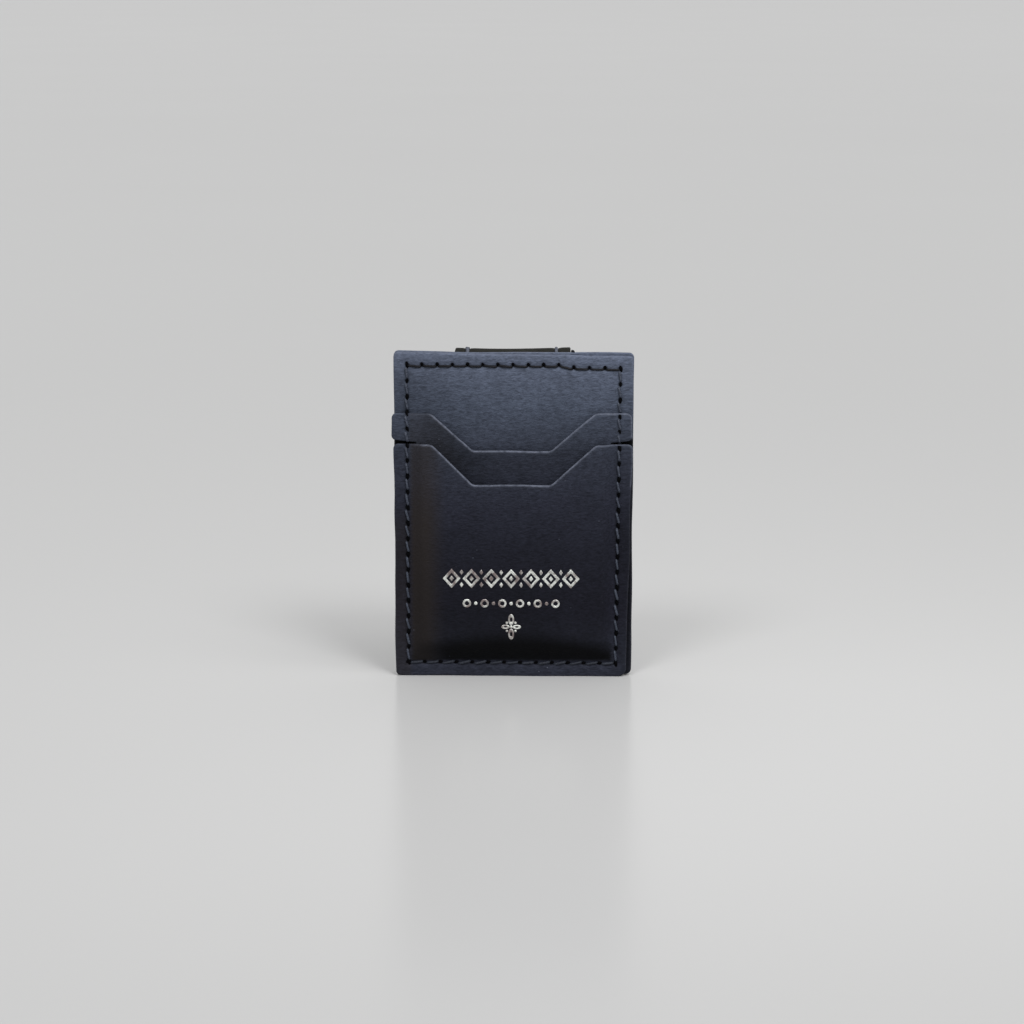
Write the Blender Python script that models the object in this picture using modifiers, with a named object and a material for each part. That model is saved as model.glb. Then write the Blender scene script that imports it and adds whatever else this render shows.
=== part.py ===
"""Leather card holder with a folding magnetic money clip on its back.

The holder stands upright on its bottom edge. Its front faces -Y, +X is to the
right and +Z is up. The origin is under the middle of the whole object.
All lengths are in metres.
"""

import math

import bmesh
import bpy
from mathutils import Matrix, Vector

# Holder: two panels sewn together all round, with two card pockets on the front.
BODY_WIDTH = 0.0670
BODY_HEIGHT = 0.0930
PANEL_THICKNESS = 0.0014
POCKET_THICKNESS = 0.0012
LAYER_GAP = 0.0003
CORNER_RADIUS = 0.0013

# Perimeter seam, and its waxed thread. Its right side leans in towards the bottom.
SEAM_X = 0.0298
SEAM_BOTTOM = 0.0040
SEAM_TOP = 0.0892
SEAM_LEAN = 0.0008
THREAD_RADIUS = 0.00035
THREAD_CLIMB = 0.0025

# Upper pocket: a T whose head reaches past the holder's left edge.
EAR_TOP = 0.0757
EAR_BOTTOM = 0.0681
EAR_HALF_WIDTH = 0.03375
EAR_RADIUS = 0.0014
HEAD_SHIFT = -0.00045
STEM_HALF_WIDTH = 0.0273
STEM_BOTTOM = 0.0070
UPPER_NOTCH_BOTTOM = 0.0651

# Lower pocket: full width, its right edge trimmed in towards the bottom.
LOWER_POCKET_TOP = 0.0669
LOWER_NOTCH_BOTTOM = 0.0558
RIGHT_TRIM = 0.0016

# Notch in both pockets' top edges, for the thumb.
NOTCH_HALF_TOP = 0.0231
NOTCH_LEFT = -0.0114
NOTCH_RIGHT = 0.0104

# The lower pocket stands off the stem behind it, which leaves room for a card.
# Its sheet is made larger than its outline by POCKET_MARGIN, then cut.
CARD_SLACK = 0.0010
POCKET_MARGIN = 0.0020
BULGE_FOOT_X = 0.0286
BULGE_HEAD_X = 0.0267
BULGE_FOOT_Z = 0.0052
BULGE_HEAD_Z = 0.0071

# Seam that closes the bottom of the T, hidden under the lower pocket.
BASE_SEAM_Z = 0.0085
BASE_SEAM_HALF = 0.0255
FINE_THREAD_RADIUS = 0.00025

# Clip: one strap folded over the top edge, with magnets in both of its leaves.
STRAP_WIDTH = 0.0327
STRAP_CENTER_X = -0.0005
STRAP_OUTER = 0.0015
STRAP_LINING = 0.0008
LEAF_SPACE = 0.0012
LEAF_BOTTOM = 0.0205
FOLD_TOP = 0.0933
LEAF_CORNER = 0.0060
STRAP_SEAM_INSET = 0.0039
STRAP_SEAM_BOTTOM = 0.0245
MAGNET_RADIUS = 0.0050
MAGNET_THICKNESS = 0.0008
MAGNET_SPACING = 0.0132
MAGNET_Z = 0.0345
RECESS_DEPTH = 0.0010

# Each side seam shows on the outside of the fold over this angle each way, in radians.
FOLD_SEAM_HALF_ANGLE = 0.3

# Values that follow from those above. DEPTH_SHIFT centres the object along Y.
# The fold is its own piece between two hinges, HINGE_RISE above its centre line.
LEAF_THICKNESS = STRAP_OUTER + LAYER_GAP + STRAP_LINING
FOLD_RADIUS = LEAF_THICKNESS + LEAF_SPACE / 2
PANELS_DEPTH = 2 * PANEL_THICKNESS + LAYER_GAP
POCKET_FRONT = 2 * (LAYER_GAP + POCKET_THICKNESS) + CARD_SLACK - LAYER_GAP
CLIP_FRONT = PANELS_DEPTH + LAYER_GAP
CLIP_BACK = CLIP_FRONT + 2 * FOLD_RADIUS
DEPTH_SHIFT = (POCKET_FRONT - CLIP_BACK) / 2
FOLD_Z = FOLD_TOP - FOLD_RADIUS
HINGE_INSET = 0.1 * FOLD_RADIUS
HINGE_RISE = 0.6 * FOLD_RADIUS
HINGE_Z = FOLD_Z + HINGE_RISE
SPLIT_ANGLE = math.asin(HINGE_RISE / FOLD_RADIUS)

FRONT_PANEL_FACE = DEPTH_SHIFT
BACK_PANEL_FACE = DEPTH_SHIFT + PANELS_DEPTH
FIXED_LEAF_FACE = DEPTH_SHIFT + CLIP_FRONT
FLAP_FACE = DEPTH_SHIFT + CLIP_BACK
FOLD_HINGE_Y = FIXED_LEAF_FACE + HINGE_INSET
FLAP_HINGE_Y = FLAP_FACE - HINGE_INSET

ARC_STEPS = 5
LEAF_FOLD_STEPS = 2
FOLD_STEPS = 6
DISC_SIDES = 32
DISC_SHARP_ANGLE = math.radians(40)
THREAD_RESOLUTION = 2
CUTTER_REACH = 4
WELD = 0.00001


# --- scene and materials ---------------------------------------------------


def clear_scene():
    for obj in list(bpy.data.objects):
        bpy.data.objects.remove(obj, do_unlink=True)


def new_collection(name):
    collection = bpy.data.collections.new(name)
    bpy.context.scene.collection.children.link(collection)
    return collection


def new_material(name, color, roughness, metallic=0.0):
    material = bpy.data.materials.new(name)
    material.use_nodes = True
    shader = material.node_tree.nodes["Principled BSDF"]
    shader.inputs["Base Color"].default_value = (*color, 1.0)
    shader.inputs["Roughness"].default_value = roughness
    shader.inputs["Metallic"].default_value = metallic
    return material


# --- outlines ----------------------------------------------------------------


def rounded(corners):
    """A closed outline from (x, z, radius) corners, each rounded by an arc."""
    outline = []
    for i, (x, z, radius) in enumerate(corners):
        point = Vector((x, z))
        before = (Vector(corners[i - 1][:2]) - point).normalized()
        after = (Vector(corners[(i + 1) % len(corners)][:2]) - point).normalized()
        if radius == 0:
            outline.append(point)
            continue
        half = before.angle(after) / 2
        middle = point + (before + after).normalized() * (radius / math.sin(half))
        start = point + before * (radius / math.tan(half)) - middle
        turn = start.angle_signed(point + after * (radius / math.tan(half)) - middle)
        for step in range(ARC_STEPS + 1):
            spin = Matrix.Rotation(-turn * step / ARC_STEPS, 2)
            outline.append(middle + spin @ start)
    return outline


def panel_outline():
    half = BODY_WIDTH / 2
    r = CORNER_RADIUS
    return rounded(
        [(-half, 0, r), (half, 0, r), (half, BODY_HEIGHT, r), (-half, BODY_HEIGHT, r)]
    )


def notch_corners(top, bottom):
    """The thumb notch's four corners, from right to left."""
    return [
        (NOTCH_HALF_TOP, top, CORNER_RADIUS),
        (NOTCH_RIGHT, bottom, CORNER_RADIUS),
        (NOTCH_LEFT, bottom, CORNER_RADIUS),
        (-NOTCH_HALF_TOP, top, CORNER_RADIUS),
    ]


def upper_pocket_outline():
    left = HEAD_SHIFT - EAR_HALF_WIDTH
    right = HEAD_SHIFT + EAR_HALF_WIDTH
    stem = STEM_HALF_WIDTH
    r = CORNER_RADIUS
    return rounded(
        [
            (-stem, STEM_BOTTOM, r),
            (stem - SEAM_LEAN, STEM_BOTTOM, r),
            (stem, EAR_BOTTOM, 0),
            (right, EAR_BOTTOM, r),
            (right, EAR_TOP, EAR_RADIUS),
            *notch_corners(EAR_TOP, UPPER_NOTCH_BOTTOM),
            (left, EAR_TOP, EAR_RADIUS),
            (left, EAR_BOTTOM, r),
            (-stem, EAR_BOTTOM, 0),
        ]
    )


def lower_pocket_outline():
    half = BODY_WIDTH / 2
    return rounded(
        [
            (-half, 0, CORNER_RADIUS),
            (half - RIGHT_TRIM, 0, CORNER_RADIUS),
            (half, LOWER_POCKET_TOP, CORNER_RADIUS),
            *notch_corners(LOWER_POCKET_TOP, LOWER_NOTCH_BOTTOM),
            (-half, LOWER_POCKET_TOP, CORNER_RADIUS),
        ]
    )


def leaf_outline():
    """The strap's free end, rounded, and running past its fold at the top."""
    left = STRAP_CENTER_X - STRAP_WIDTH / 2
    right = STRAP_CENTER_X + STRAP_WIDTH / 2
    top = FOLD_TOP + STRAP_WIDTH
    return rounded(
        [
            (left, LEAF_BOTTOM, LEAF_CORNER),
            (right, LEAF_BOTTOM, LEAF_CORNER),
            (right, top, 0),
            (left, top, 0),
        ]
    )


# --- solids --------------------------------------------------------------------


def curve_object(name, points, cyclic):
    curve = bpy.data.curves.new(name, "CURVE")
    spline = curve.splines.new("POLY")
    spline.points.add(len(points) - 1)
    for item, point in zip(spline.points, points):
        item.co = (*point, 1.0)
    spline.use_cyclic_u = cyclic
    obj = bpy.data.objects.new(name, curve)
    helpers.objects.link(obj)
    return obj


def to_mesh(obj, collection):
    """The object's evaluated shape as a welded mesh, in the curve's place."""
    name = obj.name
    bpy.context.view_layer.update()
    evaluated = obj.evaluated_get(bpy.context.evaluated_depsgraph_get())
    mesh = bpy.data.meshes.new_from_object(evaluated)
    matrix = obj.matrix_world.copy()
    bpy.data.objects.remove(obj, do_unlink=True)
    shape = bmesh.new()
    shape.from_mesh(mesh)
    bmesh.ops.remove_doubles(shape, verts=shape.verts, dist=WELD)
    bmesh.ops.recalc_face_normals(shape, faces=shape.faces)
    shape.transform(matrix)
    shape.to_mesh(mesh)
    shape.free()
    solid = bpy.data.objects.new(name, mesh)
    collection.objects.link(solid)
    return solid


def extruded(name, outline, thickness, matrix, collection=None):
    """A flat outline, given half the thickness to each side of its plane."""
    obj = curve_object(name, [(p[0], p[1], 0.0) for p in outline], True)
    obj.data.dimensions = "2D"
    obj.data.fill_mode = "BOTH"
    obj.data.extrude = thickness / 2
    obj.matrix_world = matrix
    return to_mesh(obj, collection or parts)


def facing_front(y_middle):
    """Stands an outline up in the XZ plane, with its middle layer at y_middle."""
    upright = Matrix.Rotation(math.pi / 2, 4, "X")
    return Matrix.Translation((0, y_middle, 0)) @ upright


def across_strap():
    """Lays a (y, z) outline across the strap, so that it is extruded along X."""
    turn = Matrix(((0, 0, 1, 0), (1, 0, 0, 0), (0, 1, 0, 0), (0, 0, 0, 1)))
    return Matrix.Translation((STRAP_CENTER_X, 0, 0)) @ turn


def sheet(name, outline, front_y, thickness):
    """A flat piece of leather whose front face is at front_y."""
    return extruded(name, outline, thickness, facing_front(front_y + thickness / 2))


def cut(obj, operation, cutter):
    """Applies one exact Boolean to a mesh object."""
    modifier = obj.modifiers.new(operation.title(), "BOOLEAN")
    modifier.operation = operation
    modifier.solver = "EXACT"
    modifier.object = cutter
    bpy.context.view_layer.update()
    evaluated = obj.evaluated_get(bpy.context.evaluated_depsgraph_get())
    mesh = bpy.data.meshes.new_from_object(evaluated)
    obj.modifiers.remove(modifier)
    obj.data = mesh
    cutter.hide_render = True
    cutter.display_type = "WIRE"


def tube(name, points, radius, cyclic=False):
    """A round thread along a route."""
    obj = curve_object(name, points, cyclic)
    obj.data.dimensions = "3D"
    obj.data.bevel_depth = radius
    obj.data.bevel_resolution = THREAD_RESOLUTION
    obj.data.use_fill_caps = not cyclic
    return to_mesh(obj, parts)


# --- the holder ----------------------------------------------------------------


def lean(z):
    """How far the right side leans in at a height."""
    return SEAM_LEAN * max(1 - z / LOWER_POCKET_TOP, 0.0)


def lower_pocket():
    """A sheet that is raised in the middle, then cut to its outline."""
    border_y = FRONT_PANEL_FACE - LAYER_GAP
    raised_y = FRONT_PANEL_FACE - POCKET_FRONT + POCKET_THICKNESS
    edge = BODY_WIDTH / 2 + POCKET_MARGIN
    columns = [-edge, -BULGE_FOOT_X, -BULGE_HEAD_X, BULGE_HEAD_X, BULGE_FOOT_X, edge]
    rows = [-POCKET_MARGIN, BULGE_FOOT_Z, BULGE_HEAD_Z, LOWER_POCKET_TOP + POCKET_MARGIN]
    bpy.ops.mesh.primitive_grid_add(
        x_subdivisions=len(columns) - 1, y_subdivisions=len(rows) - 1, size=2
    )
    obj = bpy.context.object
    obj.name = "lower_pocket"
    for vertex in obj.data.vertices:
        column = round((vertex.co.x + 1) / 2 * (len(columns) - 1))
        row = round((vertex.co.y + 1) / 2 * (len(rows) - 1))
        raised = column in (2, 3) and row >= 2
        z = rows[row]
        x = columns[column] - (lean(z) if 3 <= column <= 4 else 0)
        vertex.co = (x, raised_y if raised else border_y, z)
    solidify = obj.modifiers.new("Leather", "SOLIDIFY")
    solidify.thickness = POCKET_THICKNESS
    solidify.offset = 1.0
    solidify.use_even_offset = True
    obj = to_mesh(obj, parts)
    depth = CUTTER_REACH * POCKET_FRONT
    cutter = extruded("pocket_cutter", lower_pocket_outline(), depth, facing_front(border_y), helpers)
    cut(obj, "INTERSECT", cutter)
    return obj


def perimeter_thread_front():
    """The seam's front run: it climbs from the panel onto the pockets."""
    lift = LAYER_GAP + THREAD_RADIUS
    low = FRONT_PANEL_FACE - lift
    high = FRONT_PANEL_FACE - LAYER_GAP - POCKET_THICKNESS - lift
    foot = EAR_TOP + lift
    head = foot + THREAD_CLIMB
    bend = 2 * THREAD_RADIUS
    corners = [
        (-SEAM_X, SEAM_BOTTOM, bend),
        (SEAM_X - SEAM_LEAN, SEAM_BOTTOM, bend),
        (SEAM_X, LOWER_POCKET_TOP, 0),
        (SEAM_X, foot, 0),
        (SEAM_X, head, 0),
        (SEAM_X, SEAM_TOP, bend),
        (-SEAM_X, SEAM_TOP, bend),
        (-SEAM_X, head, 0),
        (-SEAM_X, foot, 0),
    ]
    route = [(x, low if z > (foot + head) / 2 else high, z) for x, z in rounded(corners)]
    return tube("perimeter_thread_front", route, THREAD_RADIUS, cyclic=True)


def perimeter_thread_back():
    """The seam's back run: both its ends go in under the strap at the top."""
    y = BACK_PANEL_FACE + LAYER_GAP + THREAD_RADIUS
    end = STRAP_WIDTH / 2 + 2 * THREAD_RADIUS
    bend = 2 * THREAD_RADIUS
    corners = [
        (STRAP_CENTER_X - end, SEAM_TOP, 0),
        (-SEAM_X, SEAM_TOP, bend),
        (-SEAM_X, SEAM_BOTTOM, bend),
        (SEAM_X - SEAM_LEAN, SEAM_BOTTOM, bend),
        (SEAM_X, SEAM_TOP, bend),
        (STRAP_CENTER_X + end, SEAM_TOP, 0),
    ]
    route = [(x, y, z) for x, z in rounded(corners)]
    return tube("perimeter_thread_back", route, THREAD_RADIUS)


def pocket_base_thread():
    """The seam that closes the bottom of the T, in front of it."""
    radius = FINE_THREAD_RADIUS
    front = FRONT_PANEL_FACE - LAYER_GAP - POCKET_THICKNESS
    y = front - LAYER_GAP - radius
    route = [(-BASE_SEAM_HALF, y, BASE_SEAM_Z), (BASE_SEAM_HALF, y, BASE_SEAM_Z)]
    return tube("pocket_base_thread", route, radius)


# --- the clip --------------------------------------------------------------------


def fold_point(radius, angle):
    """A (y, z) point of the fold, 0 at the fixed leaf and pi at the flap."""
    middle = FIXED_LEAF_FACE + FOLD_RADIUS
    return (middle - radius * math.cos(angle), FOLD_Z + radius * math.sin(angle))


def band(outer, inner, start, end, steps):
    """Closed (y, z) outline of a piece of the fold between two angles."""
    angles = [start + (end - start) * i / steps for i in range(steps + 1)]
    points = [fold_point(outer, a) for a in angles]
    return points + [fold_point(inner, a) for a in reversed(angles)]


def leaf_profile(outer, inner, at_flap):
    """Closed (y, z) outline of a leaf with its share of the fold."""
    gap = LAYER_GAP / FOLD_RADIUS / 2
    start = 0.0
    end = SPLIT_ANGLE - gap
    if at_flap:
        start = math.pi
        end = math.pi - SPLIT_ANGLE + gap
    points = band(outer, inner, start, end, LEAF_FOLD_STEPS)
    bottom = LEAF_BOTTOM
    return [(points[0][0], bottom), *points, (points[-1][0], bottom)]


def radii(layer):
    """Outer and inner radius of the strap's outer leather or of its lining."""
    if layer == "outer":
        return FOLD_RADIUS, FOLD_RADIUS - STRAP_OUTER
    return LEAF_SPACE / 2 + STRAP_LINING, LEAF_SPACE / 2


def leaf(name, layer, at_flap):
    outer, inner = radii(layer)
    profile = leaf_profile(outer, inner, at_flap)
    obj = extruded(name, profile, STRAP_WIDTH, across_strap())
    depth = CUTTER_REACH * FOLD_RADIUS
    middle = FIXED_LEAF_FACE + FOLD_RADIUS
    cutter = extruded(name + "_end", leaf_outline(), depth, facing_front(middle), helpers)
    cut(obj, "INTERSECT", cutter)
    return obj


def fold_piece(name, layer):
    outer, inner = radii(layer)
    gap = LAYER_GAP / FOLD_RADIUS / 2
    start = SPLIT_ANGLE + gap
    profile = band(outer, inner, start, math.pi - start, FOLD_STEPS)
    return extruded(name, profile, STRAP_WIDTH, across_strap())


def disc(name, radius, thickness, x, y, collection):
    bpy.ops.mesh.primitive_cylinder_add(
        vertices=DISC_SIDES, radius=radius, depth=thickness,
        location=(x, y, MAGNET_Z), rotation=(math.pi / 2, 0, 0),
    )
    obj = bpy.context.object
    obj.name = name
    obj.data.shade_smooth()
    obj.data.set_sharp_from_angle(angle=DISC_SHARP_ANGLE)
    move_to(obj, collection)
    return obj


def magnets(prefix, leather, face, inward):
    """Two discs let into the outer leather, from its lining side."""
    depth = RECESS_DEPTH + LAYER_GAP
    inner_face = face + inward * STRAP_OUTER
    recess_y = inner_face + inward * (depth / 2 - RECESS_DEPTH)
    magnet_y = inner_face + inward * (MAGNET_THICKNESS / 2 + LAYER_GAP - RECESS_DEPTH)
    found = []
    for side, sign in (("left", -1), ("right", 1)):
        x = STRAP_CENTER_X + sign * MAGNET_SPACING / 2
        name = prefix + "_magnet_" + side
        cutter = disc(name + "_recess", MAGNET_RADIUS + LAYER_GAP, depth, x, recess_y, helpers)
        cut(leather, "DIFFERENCE", cutter)
        found.append(disc(name, MAGNET_RADIUS, MAGNET_THICKNESS, x, magnet_y, parts))
    return found


def leaf_thread(name, y):
    """A seam down one side of a leaf, across its end and up the other side."""
    half = STRAP_WIDTH / 2 - STRAP_SEAM_INSET
    left = STRAP_CENTER_X - half
    right = STRAP_CENTER_X + half
    corners = [
        (left, FOLD_Z, 0),
        (left, STRAP_SEAM_BOTTOM, LEAF_CORNER / 2),
        (right, STRAP_SEAM_BOTTOM, LEAF_CORNER / 2),
        (right, FOLD_Z, 0),
    ]
    route = [(x, y, z) for x, z in rounded(corners)]
    return tube(name, route, FINE_THREAD_RADIUS)


def fold_thread(name, side):
    """One side seam where it runs over the outside of the fold."""
    radius = FOLD_RADIUS + LAYER_GAP + FINE_THREAD_RADIUS
    x = STRAP_CENTER_X + side * (STRAP_WIDTH / 2 - STRAP_SEAM_INSET)
    start = math.pi / 2 - FOLD_SEAM_HALF_ANGLE
    step = 2 * FOLD_SEAM_HALF_ANGLE / FOLD_STEPS
    angles = [start + step * i for i in range(FOLD_STEPS + 1)]
    route = [(x, *fold_point(radius, a)) for a in angles]
    return tube(name, route, FINE_THREAD_RADIUS)


# --- assembly ----------------------------------------------------------------------


def move_to(obj, collection):
    for owner in list(obj.users_collection):
        owner.objects.unlink(obj)
    collection.objects.link(obj)


def joint_empty(name, location):
    empty = bpy.data.objects.new(name, None)
    empty.location = location
    parts.objects.link(empty)
    return empty


def place_under(empty, pieces):
    """Parents finished pieces to a joint's empty, without moving them."""
    bpy.context.view_layer.update()
    for piece in pieces:
        piece.parent = empty
        piece.matrix_parent_inverse = empty.matrix_world.inverted()


def paint(material, pieces):
    for piece in pieces:
        piece.data.materials.clear()
        piece.data.materials.append(material)


def build_holder():
    outline = panel_outline()
    front = sheet("front_panel", outline, FRONT_PANEL_FACE, PANEL_THICKNESS)
    back_y = FRONT_PANEL_FACE + PANEL_THICKNESS + LAYER_GAP
    back = sheet("back_panel", outline, back_y, PANEL_THICKNESS)
    upper_y = FRONT_PANEL_FACE - LAYER_GAP - POCKET_THICKNESS
    upper = sheet("upper_pocket", upper_pocket_outline(), upper_y, POCKET_THICKNESS)
    paint(leather, [front, back, upper, lower_pocket()])
    paint(thread, [perimeter_thread_front(), perimeter_thread_back(), pocket_base_thread()])


def build_clip():
    fixed_outer = leaf("fixed_leaf_outer", "outer", False)
    fixed_lining = leaf("fixed_leaf_lining", "lining", False)
    fixed_magnets = magnets("fixed", fixed_outer, FIXED_LEAF_FACE, 1)
    seam_lift = LAYER_GAP / 2 + FINE_THREAD_RADIUS
    fixed_thread = leaf_thread("fixed_leaf_thread", FIXED_LEAF_FACE + LEAF_THICKNESS + seam_lift)

    fold_outer = fold_piece("fold_outer", "outer")
    fold_lining = fold_piece("fold_lining", "lining")
    fold_threads = [fold_thread("fold_thread_left", -1), fold_thread("fold_thread_right", 1)]
    fold_hinge = joint_empty("fold_hinge", (0, FOLD_HINGE_Y, HINGE_Z))
    place_under(fold_hinge, [fold_outer, fold_lining, *fold_threads])

    flap_outer = leaf("flap_outer", "outer", True)
    flap_lining = leaf("flap_lining", "lining", True)
    flap_magnets = magnets("flap", flap_outer, FLAP_FACE, -1)
    flap_thread = leaf_thread("flap_thread", FLAP_FACE + seam_lift)
    flap_hinge = joint_empty("flap_hinge", (0, FLAP_HINGE_Y, HINGE_Z))
    place_under(flap_hinge, [flap_outer, flap_lining, flap_thread, *flap_magnets])
    place_under(fold_hinge, [flap_hinge])

    paint(strap_leather, [fixed_outer, fold_outer, flap_outer])
    paint(lining_leather, [fixed_lining, fold_lining, flap_lining])
    paint(steel, [*fixed_magnets, *flap_magnets])
    paint(thread, [fixed_thread, flap_thread, *fold_threads])


clear_scene()
parts = new_collection("card_holder_with_money_clip")
helpers = new_collection("cutters")
leather = new_material("blue_black_leather", (0.030, 0.034, 0.048), 0.5)
strap_leather = new_material("black_strap_leather", (0.030, 0.030, 0.026), 0.55)
lining_leather = new_material("lining_leather", (0.026, 0.028, 0.036), 0.65)
thread = new_material("waxed_thread", (0.008, 0.009, 0.011), 0.5)
steel = new_material("nickel_plated_magnet", (0.55, 0.54, 0.52), 0.25, 1.0)
build_holder()
build_clip()
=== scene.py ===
"""Looks of the leather card holder with its folding magnetic money clip."""

import math

import bmesh
import bpy
import numpy as np
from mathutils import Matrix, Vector, noise
from mathutils.geometry import delaunay_2d_cdt


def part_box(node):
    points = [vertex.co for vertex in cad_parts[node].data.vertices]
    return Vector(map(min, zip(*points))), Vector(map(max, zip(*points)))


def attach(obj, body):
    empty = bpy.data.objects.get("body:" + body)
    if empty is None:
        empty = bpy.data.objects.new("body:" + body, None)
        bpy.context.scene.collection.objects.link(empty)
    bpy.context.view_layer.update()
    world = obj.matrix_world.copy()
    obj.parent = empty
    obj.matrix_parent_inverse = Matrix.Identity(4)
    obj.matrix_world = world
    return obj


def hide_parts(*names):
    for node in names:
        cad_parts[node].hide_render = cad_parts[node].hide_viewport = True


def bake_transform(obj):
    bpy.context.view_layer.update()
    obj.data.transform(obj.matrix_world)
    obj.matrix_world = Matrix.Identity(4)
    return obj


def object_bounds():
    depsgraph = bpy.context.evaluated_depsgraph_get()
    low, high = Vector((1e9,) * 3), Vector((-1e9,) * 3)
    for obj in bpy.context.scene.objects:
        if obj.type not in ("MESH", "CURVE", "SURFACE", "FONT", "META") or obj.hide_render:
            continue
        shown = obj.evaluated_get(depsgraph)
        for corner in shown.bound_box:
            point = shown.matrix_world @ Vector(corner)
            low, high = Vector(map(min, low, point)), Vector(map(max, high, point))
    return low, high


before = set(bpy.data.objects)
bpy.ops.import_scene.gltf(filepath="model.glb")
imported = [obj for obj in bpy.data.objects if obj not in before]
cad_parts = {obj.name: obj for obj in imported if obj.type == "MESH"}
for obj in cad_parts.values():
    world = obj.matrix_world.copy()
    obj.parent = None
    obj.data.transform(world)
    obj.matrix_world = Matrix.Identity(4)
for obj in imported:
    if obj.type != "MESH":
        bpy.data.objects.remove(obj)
cad_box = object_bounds()

# --- places, from the frame ---


def middle(low, high):
    return (low + high) / 2


PANEL_LOW, PANEL_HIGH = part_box("front_panel")
BACK_LOW, BACK_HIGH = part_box("back_panel")
UPPER_LOW, UPPER_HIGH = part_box("upper_pocket")
LOWER_LOW, LOWER_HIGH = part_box("lower_pocket")
SEAM_LOW, SEAM_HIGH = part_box("perimeter_thread_front")
FIXED_LOW, FIXED_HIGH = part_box("fixed_leaf_outer")
LINING_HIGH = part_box("fixed_leaf_lining")[1]
FLAP_LOW, FLAP_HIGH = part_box("flap_outer")
FOLD_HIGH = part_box("fold_outer")[1]
STRAP_SEAM_LOW, STRAP_SEAM_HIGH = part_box("flap_thread")

# --- design values, in metres ---

THREAD_RADIUS = 0.00035
STITCH_RADIUS = 0.00033
FINE_THREAD_RADIUS = 0.00028
CROSSING_RADIUS = STITCH_RADIUS * 1.6
SEAM_LEAN = 0.0008
SEAM_FOOT_DROP = 0.0002
SEAM_DROP = 0.0009
SEAM_STEP_DROP = 0.0007
SEAM_STEP_LEFT = 0.0126
SEAM_STEP_RIGHT = 0.0168
SEAM_LEFT = SEAM_LOW.x + THREAD_RADIUS
SEAM_RIGHT = SEAM_HIGH.x - THREAD_RADIUS
SEAM_BOTTOM = SEAM_LOW.z + THREAD_RADIUS
SEAM_TOP = SEAM_HIGH.z - THREAD_RADIUS
STITCH_PITCH = 0.0044

# How far a seam's dents reach, and how deep they are at its holes and along its line.
HOLE_REACH = 0.00055
LINE_REACH = 0.00085
PANEL_DENTS = (0.00045, 0.00022)
EAR_DENTS = (0.0004, 0.0002)
POCKET_DENTS = (0.0005, 0.00028)
THREAD_DENTS = (0.00030, 0.00022)
STRAP_DENTS = (0.0004, 0.0002)
LINING_DENTS = (0.0002, 0.0001)

CORNER_RADIUS = 0.0014
CUT_STEP = 0.001
PANEL_OVERLAP = 0.0001
POCKET_OVERLAP = 0.00012
PANEL_FOOT_RISE = 0.0003
PANEL_SWELL = 0.00012
FRONT_TOP_DROP = 0.00122
FRONT_TOP_EDGE = ((0.0205, 0.00122), (0.0140, 0.00095), (-0.0160, 0.00070), (-0.0235, 0.00050))
BACK_TOP_DROP = 0.00045
BACK_TOP_EDGE = ((-0.0160, 0.00045),)
EAR_BOTTOM = 0.0680
EAR_TAPER = 0.0005
EAR_INSET = 0.0003
POCKET_TOP = LOWER_HIGH.z + 0.0002
STEM_HALF_WIDTH = 0.0273
NOTCH_HALF_TOP = 0.0231
NOTCH_LEFT = -0.0114
NOTCH_RIGHT = 0.0104
UPPER_NOTCH_BOTTOM = 0.0651
LOWER_NOTCH_BOTTOM = 0.0558
RIGHT_TRIM = 0.0016
POCKET_THICKNESS = 0.0012

FRONT_FACE = PANEL_LOW.y
BACK_FACE = BACK_HIGH.y
POCKET_FACE = UPPER_LOW.y
BULGE_DEPTH = POCKET_FACE - LOWER_LOW.y
SEAM_MARGIN = 0.0009
CROWN = 0.0003
PUCKER_RISE = 0.00016

FOLD_RADIUS = middle(FLAP_HIGH.y, -FIXED_LOW.y)
FOLD_Y = middle(FLAP_HIGH.y, FIXED_LOW.y)
FOLD_Z = FOLD_HIGH.z - FOLD_RADIUS
STRAP_LEFT = FIXED_LOW.x
STRAP_RIGHT = FIXED_HIGH.x
STRAP_X = middle(STRAP_LEFT, STRAP_RIGHT)
STRAP_OUTER = 0.0015
LEAF_CORNER = 0.0060
PINCH = 0.0005
PINCH_REACH = 0.0032
FOLD_WAY_RADIUS = FOLD_RADIUS * 0.8
FOLD_HALF_WAY = FOLD_WAY_RADIUS * math.pi / 2
LEAF_LENGTH = FOLD_Z - FIXED_LOW.z
STRAP_SEAM_LEFT = STRAP_SEAM_LOW.x + FINE_THREAD_RADIUS
STRAP_SEAM_RIGHT = STRAP_SEAM_HIGH.x - FINE_THREAD_RADIUS
STRAP_SEAM_END = LEAF_LENGTH - (STRAP_SEAM_LOW.z - FLAP_LOW.z)
# How deep each layer's two faces lie under the strap's outer surface.
LAYERS = {
    "outer": (0.0, STRAP_OUTER + 0.0001),
    "lining": (STRAP_OUTER + 0.00015, FOLD_RADIUS - (FOLD_Y - LINING_HIGH.y)),
}
LINING_FACE = LAYERS["lining"][1]


# --- small helpers ---


def smoothstep(value, low, high):
    t = np.clip((np.asarray(value, float) - low) / (high - low), 0.0, 1.0)
    return t * t * (3 - 2 * t)


def falling(value, low, high):
    """1 up to low, 0 from high on, and smooth in between."""
    return smoothstep(-np.asarray(value), -high, -low)


def unit(vector):
    return vector / np.linalg.norm(vector)


def arc_points(center, start, turn, steps):
    """Points made by turning start about center."""
    made = []
    for i in range(steps + 1):
        a = turn * i / steps
        c, s = math.cos(a), math.sin(a)
        d = start - center
        made.append(center + np.array((d[0] * c - d[1] * s, d[0] * s + d[1] * c)))
    return made


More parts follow.
